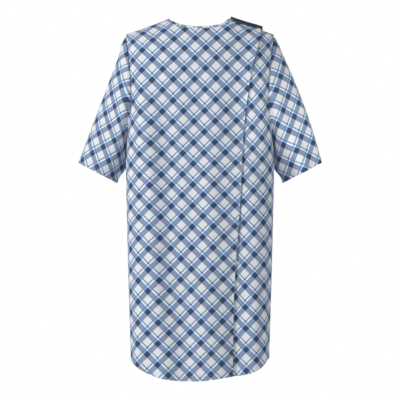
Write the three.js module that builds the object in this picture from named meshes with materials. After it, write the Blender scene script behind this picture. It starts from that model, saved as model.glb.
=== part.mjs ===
// Patient gown with an overlapping open back, held up at the shoulders.
// Lengths are millimetres. +Z is up, the wearer faces -Y and +X is the wearer's left.
// The origin is midway between the two points where the neckline meets the shoulders.
import * as THREE from 'three';

const CLOTH = 1.4;             // thickness of a flannel panel
const GAP = 0.6;               // slit left between two pieces that are sewn edge to edge
const NECK_HALF = 93;          // half the width of the neckline
const TIP_HALF = 231;          // half the width from shoulder tip to shoulder tip
const TIP_DROP = 50;           // how far the shoulder slopes down from neck to tip
const TAPE_SAG = 7;             // how far the snapped shoulder sags close to the neck
const NAPE_RISE = 14;          // how much the shoulder line would still climb at the middle
const SHOULDER_ROUND = 300;    // height over which a shoulder rolls over into back or chest
const SECTION_POWER = 2.3;     // squareness of the body section, 2 being an ellipse
const UNDERARM_Z = -365;       // bottom of the armhole
const ARMHOLE_FADE = 150;      // height over which the armhole narrows to its bottom
const ARMHOLE_SHARE = 0.5;     // armhole edge, as a share of the body's half depth
const HEM_Z = -1117;           // lowest point of the shirt-tail hem
const HEM_RISE = 62;           // how much higher the hem is at the side seams
const HEM_POWER = 3.2;         // how late the hem curves up towards the side seams
const HEM_HALF = 212;          // half the width at the hem
const NECK_DROP_BACK = 28;
const NECK_DROP_FRONT = 95;
const INNER_NECK_SINK = 4;     // the inner back panel's neckline hides below the outer one
const FOLD_X = 100;            // where each back panel folds when it is opened
const INNER_EDGE_X = 30;       // free edge of the inner back panel
const OUTER_LIFT = 5;          // the outer back panel lies this far over the inner one
const CREST_LIFT = 3;        // and only this far where it ends beside the snap tape
const CREST_GAP = 0.9;         // height left between that end and the shoulder line
const SIDE_FADE = 90;          // the lift grows over this distance from the side seam
const CREST_FADE = 60;         // and over this distance below a sewn shoulder
const SEWN_X = 80;             // beyond this distance from the middle the shoulder is sewn
const SEAM_FADE = 30;
const BINDING_LIFT = 2;
const BINDING_WIDTH = 8;
const BINDING_PROUD = 1;       // how far the binding stands above the cut edge
const BINDING_THICKNESS = 1;
const BINDING_SHORT = 10;      // a back binding stops this far before the end of the neckline
const SLEEVE_CLEARANCE = 2.5;  // between armhole edge and the first ring of the sleeve
const ROLL_ROWS = 8;           // rows of facets where the shoulder rolls over
const DROP_ROWS = 8;           // rows of facets from there to the hem

// Height against half width of the body, from shoulder tip to hem.
const EDGE_HALF_WIDTH = [
  [0, 231], [-50, 231], [-111, 218], [-160, 214], [-205, 210], [-250, 209], [-300, 213],
  [-365, 223], [-435, 228], [-520, 227], [-650, 224], [-810, 220], [-970, 215], [-1120, 210],
];
// Height against half depth of the body, for each face.
const BACK_DEPTH = [[0, 120], [-230, 120], [-450, 113], [-700, 120], [-1120, 118]];
const FRONT_DEPTH = [[0, 128], [-230, 128], [-450, 124], [-700, 130], [-1120, 126]];
// Height against x of the outer back panel's free edge.
const OUTER_EDGE_X = [
  [0, -190], [-40, -188], [-111, -170], [-155, -157], [-232, -146], [-318, -135], [-413, -129],
  [-500, -126], [-595, -121], [-728, -111], [-845, -104], [-987, -101], [-1120, -99],
];

const SLEEVE = {
  armTop: -52, armBottom: UNDERARM_Z,
  cuffOuter: [375, -444], cuffInner: [256, -506], cuffHalfDepth: 48, forward: -14,
  closest: 217,                // no ring of the sleeve starts nearer to the middle than this
};
const SLEEVE_AROUND = 30;
const SLEEVE_RINGS = 9;

const TAPE = { from: -95, to: -193, bottom: 2, top: 13.6, thickness: 1.2, steps: 14 };
const STUD_TAPE_Y = 1.0;       // middle of the tape that carries the studs
const SOCKET_TAPE_Y = 6.2;     // middle of the tape that carries the sockets
const SNAP_X = [-111, -145, -179];
const SNAP_RISE = 8.2;         // snap centres above the shoulder line
const SNAP_SIDES = 20;

// Profiles of a snap's four mouldings: distance from its axis and place along Y.
const SNAP_RING = [[0, -1.0], [4.2, -1.0], [4.2, 0.1], [0, 0.1]];
const SNAP_STUD = [[0, 1.9], [4.2, 1.9], [4.2, 2.7], [1.6, 2.9], [1.7, 3.8], [0, 4.0]];
const SNAP_SOCKET = [[2.6, 3.1], [4.4, 3.1], [4.4, 5.2], [2.6, 5.2]];
const SNAP_CAP = [[0, 7.1], [4.4, 7.1], [4.4, 7.6], [3.2, 8.2], [0, 8.2]];

const LABEL = { halfWidth: 20, belowNeck: 14, height: 50, inside: 2.4, thickness: 0.6 };

const CLOTH_MATERIAL = { color: 0x8a97b5, roughness: 0.92, metalness: 0 };
const BINDING_MATERIAL = { color: 0x9aa6bf, roughness: 0.92, metalness: 0 };
const TAPE_MATERIAL = { color: 0x1d2433, roughness: 0.85, metalness: 0 };
const SNAP_MATERIAL = { color: 0x2a3244, roughness: 0.45, metalness: 0 };
const LABEL_MATERIAL = { color: 0xf2f2f0, roughness: 0.7, metalness: 0 };

const mix = (a, b, s) => a + (b - a) * s;
const clamp01 = (s) => Math.min(1, Math.max(0, s));
const smooth = (s) => clamp01(s) ** 2 * (3 - 2 * clamp01(s));

// Value of a table at a height, the table running from high to low.
function atHeight(table, z) {
  if (z >= table[0][0]) return table[0][1];
  for (let i = 1; i < table.length; i += 1) {
    const [z0, v0] = table[i - 1];
    const [z1, v1] = table[i];
    if (z >= z1) return mix(v0, v1, (z0 - z) / (z0 - z1));
  }
  return table[table.length - 1][1];
}

const edgeHalfWidth = (z) => atHeight(EDGE_HALF_WIDTH, z);

// The shoulder that is only snapped sags between these distances from the middle.
const SAG_FROM = 88;
const SAG_FULL = 108;
const SAG_FADE = 130;
const SAG_TO = 190;

// Height of the shoulder line; inside the neckline it carries on upwards.
function shoulderZ(x) {
  const out = Math.abs(x);
  const rise = NAPE_RISE * (1 - out / NECK_HALF);
  const slope = -TIP_DROP * (out - NECK_HALF) / (TIP_HALF - NECK_HALF);
  const begin = smooth((-x - SAG_FROM) / (SAG_FULL - SAG_FROM));
  const fade = smooth((-x - SAG_FADE) / (SAG_TO - SAG_FADE));
  return (out < NECK_HALF ? rise : slope) - TAPE_SAG * begin * (1 - fade);
}

function necklineZ(x, drop) {
  const share = clamp01(Math.abs(x) / NECK_HALF);
  return -drop * Math.sqrt(1 - share * share);
}

function hemZ(x) {
  return HEM_Z + HEM_RISE * clamp01(Math.abs(x) / HEM_HALF) ** HEM_POWER;
}

// How far out the armhole edge sits, as a share of the half depth at that height.
function armholeShare(z) {
  const up = clamp01((z - UNDERARM_Z) / ARMHOLE_FADE);
  return ARMHOLE_SHARE * Math.sqrt(1 - (1 - up) ** 2);
}

// y of the body surface; face is +1 for the back and -1 for the front.
function bodyY(x, z, face) {
  const share = armholeShare(z);
  const full = edgeHalfWidth(z) / (1 - share ** SECTION_POWER) ** (1 / SECTION_POWER);
  const rest = Math.max(0, 1 - Math.abs(x / full) ** SECTION_POWER);
  const over = clamp01((shoulderZ(x) - z) / SHOULDER_ROUND);
  const roll = Math.sqrt(1 - (1 - over) ** 2);
  const depth = atHeight(face > 0 ? BACK_DEPTH : FRONT_DEPTH, z);
  return face * (depth * roll * rest ** (1 / SECTION_POWER) + GAP / 2);
}

// Grid of points on one face between two side curves; rows run from the top edge to the hem.
function panelGrid({ face, left, right, spacing, top }) {
  return spacing.map((s) => {
    const xTop = mix(left(0), right(0), s);
    const shoulder = shoulderZ(xTop);
    const start = Math.acos(1 - Math.max(0, shoulder - top(xTop)) / SHOULDER_ROUND);
    const heights = [];
    for (let i = 0; i < ROLL_ROWS; i += 1) {
      const turn = mix(start, Math.PI / 2, i / ROLL_ROWS);
      heights.push(shoulder - SHOULDER_ROUND * (1 - Math.cos(turn)));
    }
    const low = shoulder - SHOULDER_ROUND;
    const hem = hemZ(mix(left(HEM_Z), right(HEM_Z), s));
    for (let i = 0; i <= DROP_ROWS; i += 1) heights.push(mix(low, hem, i / DROP_ROWS));
    return heights.map((z) => {
      const x = mix(left(z), right(z), s);
      return new THREE.Vector3(x, bodyY(x, z, face), z);
    });
  });
}

// Grid of points on one face between two heights, each a function of x.
function patchGrid({ face, from, to, columns, high, low, rows }) {
  const grid = [];
  for (let j = 0; j <= columns; j += 1) {
    const x = mix(from, to, j / columns);
    const column = [];
    for (let i = 0; i <= rows; i += 1) {
      const z = mix(high(x), low(x), i / rows);
      column.push(new THREE.Vector3(x, bodyY(x, z, face), z));
    }
    grid.push(column);
  }
  return grid;
}

// Unit normals of a grid; around says that the columns close into a ring.
function gridNormals(grid, around) {
  const last = grid.length - 1;
  const pick = (j) => {
    if (around) return grid[(j + grid.length) % grid.length];
    return grid[Math.min(last, Math.max(0, j))];
  };
  return grid.map((column, j) => column.map((point, i) => {
    const across = pick(j + 1)[i].clone().sub(pick(j - 1)[i]);
    const down = column[Math.min(column.length - 1, i + 1)].clone().sub(column[Math.max(0, i - 1)]);
    return across.cross(down).normalize();
  }));
}

// Moves a grid along its normals; lift is a number or a function of the point.
function liftGrid(grid, outward, lift) {
  const normals = gridNormals(grid, false);
  return grid.map((column, j) => column.map((point, i) => {
    const normal = normals[j][i];
    const sign = normal.dot(outward(point)) < 0 ? -1 : 1;
    const by = typeof lift === 'number' ? lift : lift(point);
    return point.clone().addScaledVector(normal, sign * by);
  }));
}

// Closed thin solid on both sides of a grid.
function sheetGeometry(grid, thickness, around = false) {
  const normals = gridNormals(grid, around);
  const columns = grid.length;
  const rows = grid[0].length;
  const positions = [];
  for (const side of [0.5, -0.5]) {
    grid.forEach((column, j) => column.forEach((point, i) => {
      const moved = point.clone().addScaledVector(normals[j][i], side * thickness);
      positions.push(moved.x, moved.y, moved.z);
    }));
  }
  const at = (layer, j, i) => layer * columns * rows + (j % columns) * rows + i;
  const faces = [];
  const quad = (a, b, c, d) => faces.push(a, b, c, a, c, d);
  const spans = around ? columns : columns - 1;
  for (let j = 0; j < spans; j += 1) {
    for (let i = 0; i < rows - 1; i += 1) {
      quad(at(0, j, i), at(0, j + 1, i), at(0, j + 1, i + 1), at(0, j, i + 1));
      quad(at(1, j, i), at(1, j, i + 1), at(1, j + 1, i + 1), at(1, j + 1, i));
    }
    quad(at(0, j, 0), at(1, j, 0), at(1, j + 1, 0), at(0, j + 1, 0));
    quad(at(0, j + 1, rows - 1), at(1, j + 1, rows - 1), at(1, j, rows - 1), at(0, j, rows - 1));
  }
  for (let i = 0; i < rows - 1 && !around; i += 1) {
    quad(at(0, 0, i + 1), at(1, 0, i + 1), at(1, 0, i), at(0, 0, i));
    quad(at(0, spans, i), at(1, spans, i), at(1, spans, i + 1), at(0, spans, i + 1));
  }
  return outwardGeometry(positions, faces);
}

// Geometry whose faces all look outwards.
function outwardGeometry(positions, faces) {
  const corner = (k) => new THREE.Vector3(...positions.slice(3 * k, 3 * k + 3));
  let volume = 0;
  for (let f = 0; f < faces.length; f += 3) {
    volume += corner(faces[f]).dot(corner(faces[f + 1]).cross(corner(faces[f + 2])));
  }
  const order = volume > 0 ? [0, 1, 2] : [0, 2, 1];
  const index = [];
  for (let f = 0; f < faces.length; f += 3) order.forEach((k) => index.push(faces[f + k]));
  const geometry = new THREE.BufferGeometry();
  geometry.setAttribute('position', new THREE.Float32BufferAttribute(positions, 3));
  geometry.setIndex(index);
  geometry.computeVertexNormals();
  return geometry;
}

// Solid of revolution about a line through (x, z) along Y; the profile is a list of [radius, y].
// A profile that starts and ends on the line is a disc, any other closes into a ring.
function turnedGeometry(profile, x, z) {
  const solid = profile[0][0] === 0;
  const positions = [];
  const faces = [];
  const rings = solid ? profile.slice(1, -1) : profile;
  rings.forEach(([radius, y]) => {
    for (let k = 0; k < SNAP_SIDES; k += 1) {
      const turn = 2 * Math.PI * k / SNAP_SIDES;
      positions.push(x + radius * Math.cos(turn), y, z + radius * Math.sin(turn));
    }
  });
  const spans = solid ? rings.length - 1 : rings.length;
  for (let r = 0; r < spans; r += 1) {
    const next = (r + 1) % rings.length;
    for (let k = 0; k < SNAP_SIDES; k += 1) {
      const after = (k + 1) % SNAP_SIDES;
      const [a, b] = [r * SNAP_SIDES + k, r * SNAP_SIDES + after];
      const [c, d] = [next * SNAP_SIDES + after, next * SNAP_SIDES + k];
      faces.push(a, b, c, a, c, d);
    }
  }
  if (solid) {
    const ends = [[0, profile[0][1]], [rings.length - 1, profile[profile.length - 1][1]]];
    ends.forEach(([ring, y], end) => {
      const middle = positions.length / 3;
      positions.push(x, y, z);
      for (let k = 0; k < SNAP_SIDES; k += 1) {
        const [a, b] = [ring * SNAP_SIDES + k, ring * SNAP_SIDES + (k + 1) % SNAP_SIDES];
        faces.push(middle, end ? a : b, end ? b : a);
      }
    });
  }
  return outwardGeometry(positions, faces);
}

const group = new THREE.Group();
group.name = 'patient_gown';

function addPiece(name, geometry, look) {
  const mesh = new THREE.Mesh(geometry, new THREE.MeshStandardMaterial(look));
  mesh.name = name;
  group.add(mesh);
}

// Shares from 0 to 1, crowded towards the ends where the cloth turns the side of the body.
const evenly = (count) => Array.from({ length: count + 1 }, (_, k) => k / count);
const crowdedBoth = (count) => evenly(count).map((s) => (1 - Math.cos(Math.PI * s)) / 2);
const crowdedStart = (count) => evenly(count).map((s) => 1 - Math.cos(Math.PI * s / 2));
const crowdedEnd = (count) => evenly(count).map((s) => Math.sin(Math.PI * s / 2));
const behind = () => new THREE.Vector3(0, 1, 0.6);
const ahead = () => new THREE.Vector3(0, -1, 0.6);
const neckTop = (drop) => (x) => (Math.abs(x) < NECK_HALF ? necklineZ(x, drop) : shoulderZ(x));

// Lift of the outer back panel: nothing at the side seam and at the shoulder it is sewn to,
// and little along the tape that it is sewn to on the other shoulder.
function outerLift(point) {
  const fromSide = smooth((edgeHalfWidth(point.z) - point.x) / SIDE_FADE);
  const sewn = smooth((point.x - SEWN_X) / SEAM_FADE);
  const taped = smooth((-point.x - SEWN_X) / SEAM_FADE);
  const belowSeam = smooth((shoulderZ(point.x) - point.z) / CREST_FADE);
  const crest = mix(CREST_LIFT, OUTER_LIFT, belowSeam);
  return fromSide * mix(mix(OUTER_LIFT, OUTER_LIFT * belowSeam, sewn), crest, taped);
}

// Top edge of the outer panel; over the far shoulder it stops just short of the tape.
function outerTop(x) {
  if (x < -NECK_HALF) return shoulderZ(x) - CREST_GAP;
  return neckTop(NECK_DROP_BACK)(x);
}

function addPanels() {
  const front = panelGrid({
    face: -1, left: edgeHalfWidth, right: (z) => -edgeHalfWidth(z),
    spacing: crowdedBoth(26), top: neckTop(NECK_DROP_FRONT),
  });
  addPiece('front_panel', sheetGeometry(front, CLOTH), CLOTH_MATERIAL);

  const outerSide = panelGrid({
    face: 1, left: edgeHalfWidth, right: () => FOLD_X + GAP / 2,
    spacing: crowdedStart(8), top: neckTop(NECK_DROP_BACK),
  });
  const outerFlap = panelGrid({
    face: 1, left: () => FOLD_X - GAP / 2, right: (z) => atHeight(OUTER_EDGE_X, z),
    spacing: evenly(24), top: outerTop,
  });
  const outerSideSheet = sheetGeometry(liftGrid(outerSide, behind, outerLift), CLOTH);
  const outerFlapSheet = sheetGeometry(liftGrid(outerFlap, behind, outerLift), CLOTH);
  addPiece('outer_back_side', outerSideSheet, CLOTH_MATERIAL);
  addPiece('outer_back_flap', outerFlapSheet, CLOTH_MATERIAL);

  const innerTop = neckTop(NECK_DROP_BACK + INNER_NECK_SINK);
  const innerSide = panelGrid({
    face: 1, left: () => -FOLD_X - GAP / 2, right: (z) => -edgeHalfWidth(z),
    spacing: crowdedEnd(16), top: innerTop,
  });
  const innerFlap = panelGrid({
    face: 1, left: () => INNER_EDGE_X, right: () => GAP / 2 - FOLD_X,
    spacing: evenly(12), top: innerTop,
  });
  addPiece('inner_back_side', sheetGeometry(innerSide, CLOTH), CLOTH_MATERIAL);
  addPiece('inner_back_flap', sheetGeometry(innerFlap, CLOTH), CLOTH_MATERIAL);
}

// A binding is a narrow strip along the neckline, on the outside of its panel.
function addBinding(name, face, from, to, drop, lift) {
  const high = (x) => necklineZ(x, drop) + BINDING_PROUD;
  const grid = patchGrid({
    face, from, to, columns: 16, rows: 2, high, low: (x) => high(x) - BINDING_WIDTH,
  });
  const outward = face > 0 ? behind : ahead;
  const sheet = sheetGeometry(liftGrid(grid, outward, lift), BINDING_THICKNESS);
  addPiece(name, sheet, BINDING_MATERIAL);
}

function addBindings() {
  const end = NECK_HALF - 1;
  const over = OUTER_LIFT + BINDING_LIFT;
  addBinding('neck_binding_front', -1, end, -end, NECK_DROP_FRONT, BINDING_LIFT);
  addBinding('neck_binding_outer', 1, end - BINDING_SHORT, -end, NECK_DROP_BACK, over);
  const innerDrop = NECK_DROP_BACK + INNER_NECK_SINK;
  addBinding('neck_binding_inner', 1, INNER_EDGE_X, BINDING_SHORT - end, innerDrop, BINDING_LIFT);
}

// One sleeve is a tube from the armhole to the cuff; side is +1 for the wearer's left.
function addSleeve(name, side) {
  const middle = (SLEEVE.armTop + SLEEVE.armBottom) / 2;
  const reach = (SLEEVE.armTop - SLEEVE.armBottom) / 2;
  const cuffX = (SLEEVE.cuffOuter[0] + SLEEVE.cuffInner[0]) / 2;
  const cuffZ = (SLEEVE.cuffOuter[1] + SLEEVE.cuffInner[1]) / 2;
  const grid = evenly(SLEEVE_AROUND).slice(0, -1).map((share) => {
    const turn = 2 * Math.PI * share;
    const z0 = middle + reach * Math.cos(turn);
    const face = Math.sin(turn) >= 0 ? 1 : -1;
    const x0 = Math.max(SLEEVE.closest, edgeHalfWidth(z0) + SLEEVE_CLEARANCE);
    const y0 = bodyY(edgeHalfWidth(z0), z0, face);
    const x1 = cuffX + (SLEEVE.cuffOuter[0] - cuffX) * Math.cos(turn);
    const y1 = SLEEVE.forward + SLEEVE.cuffHalfDepth * Math.sin(turn);
    const z1 = cuffZ + (SLEEVE.cuffOuter[1] - cuffZ) * Math.cos(turn);
    return evenly(SLEEVE_RINGS).map((s) => {
      const point = new THREE.Vector3(mix(x0, x1, s), mix(y0, y1, s), mix(z0, z1, s));
      point.x *= side;
      return point;
    });
  });
  addPiece(name, sheetGeometry(grid, CLOTH, true), CLOTH_MATERIAL);
}

// A tape stands up along the shoulder line at a given y.
function addTape(name, y) {
  const grid = evenly(TAPE.steps).map((s) => {
    const x = mix(TAPE.from, TAPE.to, s);
    return [TAPE.top, TAPE.bottom].map((rise) => new THREE.Vector3(x, y, shoulderZ(x) + rise));
  });
  addPiece(name, sheetGeometry(grid, TAPE.thickness), TAPE_MATERIAL);
}

// Each snap is a ring and stud on one tape and a socket and cap on the other.
function addSnap(x, number) {
  const z = shoulderZ(x) + SNAP_RISE;
  addPiece(`snap_ring_${number}`, turnedGeometry(SNAP_RING, x, z), SNAP_MATERIAL);
  addPiece(`snap_stud_${number}`, turnedGeometry(SNAP_STUD, x, z), SNAP_MATERIAL);
  addPiece(`snap_socket_${number}`, turnedGeometry(SNAP_SOCKET, x, z), SNAP_MATERIAL);
  addPiece(`snap_cap_${number}`, turnedGeometry(SNAP_CAP, x, z), SNAP_MATERIAL);
}

// Blank care label sewn inside the front, below the neckline.
function addLabel() {
  const top = -NECK_DROP_FRONT - LABEL.belowNeck;
  const grid = patchGrid({
    face: -1, from: LABEL.halfWidth, to: -LABEL.halfWidth, columns: 4, rows: 4,
    high: () => top, low: () => top - LABEL.height,
  });
  const sheet = sheetGeometry(liftGrid(grid, ahead, -LABEL.inside), LABEL.thickness);
  addPiece('care_label', sheet, LABEL_MATERIAL);
}

addPanels();
addBindings();
addSleeve('left_sleeve', 1);
addSleeve('right_sleeve', -1);
addTape('shoulder_tape_stud', STUD_TAPE_Y);
addTape('shoulder_tape_socket', SOCKET_TAPE_Y);
SNAP_X.forEach((x, k) => addSnap(x, k + 1));
addLabel();

export default group;
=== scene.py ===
"""Looks of the patient gown: flannel panels and sleeves, binding, snap tapes, stitching, studio.

Lengths in this script are millimetres until a mesh is made. The wearer faces -Y, +X is the
wearer's left, and the origin is midway between the two ends of the neckline.
"""
import math

import bmesh
import bpy
import numpy as np
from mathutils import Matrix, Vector


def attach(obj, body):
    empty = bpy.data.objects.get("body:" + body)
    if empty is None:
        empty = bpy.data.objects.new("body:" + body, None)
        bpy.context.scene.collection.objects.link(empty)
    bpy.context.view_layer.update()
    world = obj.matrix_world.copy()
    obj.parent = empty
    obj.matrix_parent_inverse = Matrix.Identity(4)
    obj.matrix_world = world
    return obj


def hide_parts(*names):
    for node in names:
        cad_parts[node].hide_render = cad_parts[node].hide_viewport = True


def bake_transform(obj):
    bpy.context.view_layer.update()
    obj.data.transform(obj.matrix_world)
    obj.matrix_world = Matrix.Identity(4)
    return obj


MM = 0.001

# ---- body of the gown
NECK_HALF = 93
TIP_HALF = 231  # half the width between the tips of the shoulders
TIP_DROP = 50
TAPE_SAG = 2.6  # the right shoulder sags under the weight of the tape
SAG_FROM, SAG_FULL, SAG_FADE, SAG_TO = 88, 108, 130, 190
NAPE_RISE = 14
SHOULDER_ROUND = 300  # height over which the cloth rolls over the shoulder
SECTION_POWER = 4.4  # the hung cloth fills out the frame's section a little
UNDERARM_Z = -365
ARMHOLE_FADE = 150
ARMHOLE_SHARE = 0.62  # depth of the armhole as a share of the body's depth
HEM_Z = -1113
HEM_RISE = 62  # the shirt-tail hem is this much shorter at the sides
HEM_POWER = 3.2
HEM_HALF = 212
HEM_BOW, HEM_BOW_X, HEM_BOW_REACH = 9, -85, 60  # the hem hangs higher at the overlap
CORNER_RISE, CORNER_FROM, CORNER_OVER = 10, 180, 30  # and at the wearer's right side
NECK_DROP_BACK = 28
NECK_DROP_FRONT = 95
INNER_NECK_SINK = 4
INNER_EDGE_X = 30
OUTER_LIFT = 5.0
CREST_LIFT = 3.0
CREST_GAP = 0.9
TABLE_ROUNDING = 26  # how far each corner of the tables below is rounded off

# Each table has pairs of a height and the half width, depth or x there.
EDGE_HALF_WIDTH = [
    (0, 228), (-50, 228), (-111, 218), (-160, 214), (-205, 210), (-250, 209), (-300, 213),
    (-365, 223), (-435, 228), (-520, 227), (-650, 224), (-810, 220), (-970, 215), (-1120, 210),
]
BACK_DEPTH = [(0, 120), (-230, 120), (-450, 113), (-700, 120), (-1120, 118)]
FRONT_DEPTH = [(0, 128), (-230, 128), (-450, 124), (-700, 130), (-1120, 126)]
OUTER_EDGE_X = [
    (0, -190), (-40, -188), (-111, -170), (-155, -157), (-232, -146), (-318, -135), (-413, -129),
    (-500, -126), (-595, -121), (-728, -111), (-845, -104), (-987, -101), (-1120, -99),
]

CLOTH = 1.3  # thickness of the flannel
HEM_FOLD = 18  # height of the turned hem
EDGE_FOLD = 16  # width of the turned edge of the overlap
HEM_EXTRA = 1.1  # how much thicker a turned hem is
EDGE_EXTRA = 1.9  # the edge of the overlap is folded twice
FOLD_STEP = 1.5  # width of the step where a fold ends
STITCH_IN = 2  # how far the stitching runs inside that step
ROLL_ROWS = 44
DROP_ROWS = 170
PATH_STEPS_ROUND, PATH_STEPS_DOWN = 49, 33
BEHIND = np.array([0, 1, 0])
AHEAD = np.array([0, -1, 0])

# ---- plaid
# One repeat along each yarn direction, as (right, down) seen from outside the cloth. The body is
# cut on the bias.
BODY_YARNS = ((31.85, 31.65), (-32.95, 32.85))
INNER_YARNS = ((29.72, 31.7), (-28.6, 32.9))
SIDE_EASE = 0.3  # how much the bias cloth stretches round the sides
BODY_DIAMOND = (16.4, -189.1)  # x and z of the middle of one dark check on the outer back
INNER_DIAMOND = (-183.8, -175.5)
FRONT_DIAMOND = (10, -200)

# Where the stripes of one repeat end, counted from the middle of the dark band.
STRIPE_ENDS = {"band": 0.176, "field": 0.632, "line": 0.732, "white": 0.832}
STRIPE_BLUR = 0.008

# Colour where a stripe of one direction crosses one of the other.
CROSSINGS = {
    ("band", "band"): "394862", ("band", "field"): "8291AA", ("band", "line"): "6986AE",
    ("band", "white"): "849FC4", ("line", "field"): "7F95A8", ("line", "line"): "3A6084",
    ("line", "white"): "8CAAC8", ("field", "field"): "D8D9DC", ("field", "white"): "D8E3F1",
    ("white", "white"): "D4E6FA",
}


def smooth_table(table, z):
    """Value of a table at heights z, with its corners rounded off."""
    heights, values = zip(*sorted(table))
    near = [np.interp(z + step * TABLE_ROUNDING, heights, values) for step in (-1, 0, 1)]
    return (near[0] + 2 * near[1] + near[2]) / 4


def edge_half_width(z):
    return smooth_table(EDGE_HALF_WIDTH, z)


def smooth(s):
    """0 up to 0, 1 from 1 on, and an even curve between."""
    s = np.clip(s, 0, 1)
    return s * s * (3 - 2 * s)


def bump(value, middle, reach):
    """1 in the middle, fading to nothing over a few reaches."""
    return np.exp(-(((value - middle) / reach) ** 2))


def shoulder_z(x):
    """Height of the line where the front and the back meet on top."""
    out = np.abs(x)
    inside = NAPE_RISE * (1 - out / NECK_HALF)
    outside = -TIP_DROP * (out - NECK_HALF) / (TIP_HALF - NECK_HALF)
    begin = smooth((-x - SAG_FROM) / (SAG_FULL - SAG_FROM))
    fade = smooth((-x - SAG_FADE) / (SAG_TO - SAG_FADE))
    return np.where(out < NECK_HALF, inside, outside) - TAPE_SAG * begin * (1 - fade)


def neckline_z(x, drop):
    share = np.clip(np.abs(x) / NECK_HALF, 0, 1)
    return -drop * np.sqrt(1 - share * share)


def hem_z(x):
    plain = HEM_Z + HEM_RISE * np.clip(np.abs(x) / HEM_HALF, 0, 1) ** HEM_POWER
    bow = HEM_BOW * bump(x, HEM_BOW_X, HEM_BOW_REACH)
    return plain + bow + CORNER_RISE * smooth((-x - CORNER_FROM) / CORNER_OVER)


def section_fill(x, z):
    """How much of its full depth the body's section has at x."""
    up = np.clip((z - UNDERARM_Z) / ARMHOLE_FADE, 0, 1)
    share = ARMHOLE_SHARE * np.sqrt(1 - (1 - up) ** 2)
    full = edge_half_width(z) / (1 - share**SECTION_POWER) ** (1 / SECTION_POWER)
    rest = np.clip(1 - np.abs(x / full) ** SECTION_POWER, 0, None)
    return rest ** (1 / SECTION_POWER)


def depth_at(z, face):
    return np.where(face > 0, smooth_table(BACK_DEPTH, z), smooth_table(FRONT_DEPTH, z))


def body_y(x, z, face):
    """y of the plain body surface; face is +1 for the back and -1 for the front."""
    over = np.clip((shoulder_z(x) - z) / SHOULDER_ROUND, 0, 1)
    roll = np.sqrt(1 - (1 - over) ** 2)
    return face * depth_at(z, face) * roll * section_fill(x, z)


def flat_u(x, z, face):
    """Distance round the body from its middle line: where the point lies across the flat cloth."""
    shares = np.linspace(0, 1, PATH_STEPS_ROUND)
    xs = x[..., None] * shares
    ys = depth_at(z, face)[..., None] * section_fill(xs, z[..., None])
    steps = np.hypot(np.diff(xs, axis=-1), np.diff(ys, axis=-1)).sum(-1)
    return np.sign(x) * steps


def flat_v(x, z, face):
    """Distance down the body: where the point lies along the flat cloth."""
    low = shoulder_z(x) - SHOULDER_ROUND
    over = np.clip((z - low) / SHOULDER_ROUND, 0, 1)
    turn = np.arcsin(over)[..., None] * np.linspace(0, 1, PATH_STEPS_DOWN)
    depth = (depth_at(z, face) * section_fill(x, z))[..., None]
    ys = depth * np.cos(turn)
    zs = SHOULDER_ROUND * np.sin(turn)
    path = np.hypot(np.diff(ys, axis=-1), np.diff(zs, axis=-1)).sum(-1)
    return np.where(z > low, low + path, z)


# ---- meshes
BAND_SQUARENESS = 0.6  # 1 is a round tube, less is flatter with rounded corners
STITCH_PITCH, STITCH_LENGTH, STITCH_RADIUS = 3.4, 2.3, 0.3
STITCH_SIDES = 6
STITCH_SHOULDERS = (0.2, 0.8)  # where along a stitch it has its full width
MOULDING_BEVEL = 0.25


def unit(v):
    return v / np.maximum(np.linalg.norm(v, axis=-1, keepdims=True), 1e-12)


def grid_normals(points, around=False):
    if around:
        across = np.roll(points, -1, 0) - np.roll(points, 1, 0)
    else:
        across = np.gradient(points, axis=0)
    down = np.gradient(points, axis=1)
    return unit(np.cross(across, down))


def add_object(name, data):
    obj = bpy.data.objects.new(name, data)
    bpy.context.scene.collection.objects.link(obj)
    return obj


def new_mesh(name, verts, faces, material, uvs=None, sharp=None):
    """A smooth mesh piece from points in millimetres; uvs has one pair for each face corner."""
    mesh = bpy.data.meshes.new(name)
    mesh.from_pydata((np.asarray(verts) * MM).tolist(), [], faces)
    mesh.validate()
    for polygon in mesh.polygons:
        polygon.use_smooth = True
    if uvs is not None:
        layer = mesh.uv_layers.new(name="plaid")
        layer.data.foreach_set("uv", np.asarray(uvs, float).ravel())
    if sharp is not None:
        flags = np.array([tuple(sorted(e.vertices)) in sharp for e in mesh.edges], bool)
        attribute = mesh.attributes.new("sharp_edge", "BOOLEAN", "EDGE")
        attribute.data.foreach_set("value", flags)
    mesh.materials.append(material)
    return add_object(name, mesh)


def sheet_mesh(name, points, uv, material, thickness, outward, around=False):
    """Closed thin sheet on both sides of a grid of points; around closes the columns to a tube."""
    normals = outward_normals(points, outward, around)
    half = np.broadcast_to(np.asarray(thickness, float), points.shape[:2])[..., None] / 2
    columns, rows = points.shape[:2]
    verts = np.concatenate([(points + normals * half).reshape(-1, 3),
                            (points - normals * half).reshape(-1, 3)])
    count = columns * rows
    spans = columns if around else columns - 1
    j, i = np.indices((spans, rows - 1)).reshape(2, -1)
    corners = [(j, i), (j + 1, i), (j + 1, i + 1), (j, i + 1)]
    quads = np.stack([(cj % columns) * rows + ci for cj, ci in corners], 1)
    coords = np.stack([uv[cj, ci] for cj, ci in corners], 1)
    faces = [quads, quads[:, ::-1] + count]
    loops = [coords, coords[:, ::-1]]
    borders = [[(k % columns) * rows + row for k in range(spans + 1)] for row in (0, rows - 1)]
    if not around:
        borders += [[column * rows + k for k in range(rows)] for column in (0, columns - 1)]
    flat_uv = uv[:columns].reshape(-1, 2)
    sharp = set()
    for border in borders:
        for p, q in zip(border[:-1], border[1:]):
            faces.append(np.array([[p, q, q + count, p + count]]))
            loops.append(flat_uv[[p, q, q, p]][None])
            sharp.update({tuple(sorted((p, q))), tuple(sorted((p + count, q + count)))})
    obj = new_mesh(name, verts, np.concatenate(faces).tolist(), material,
                   np.concatenate(loops), sharp)
    face_outside(obj)
    return obj


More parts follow.
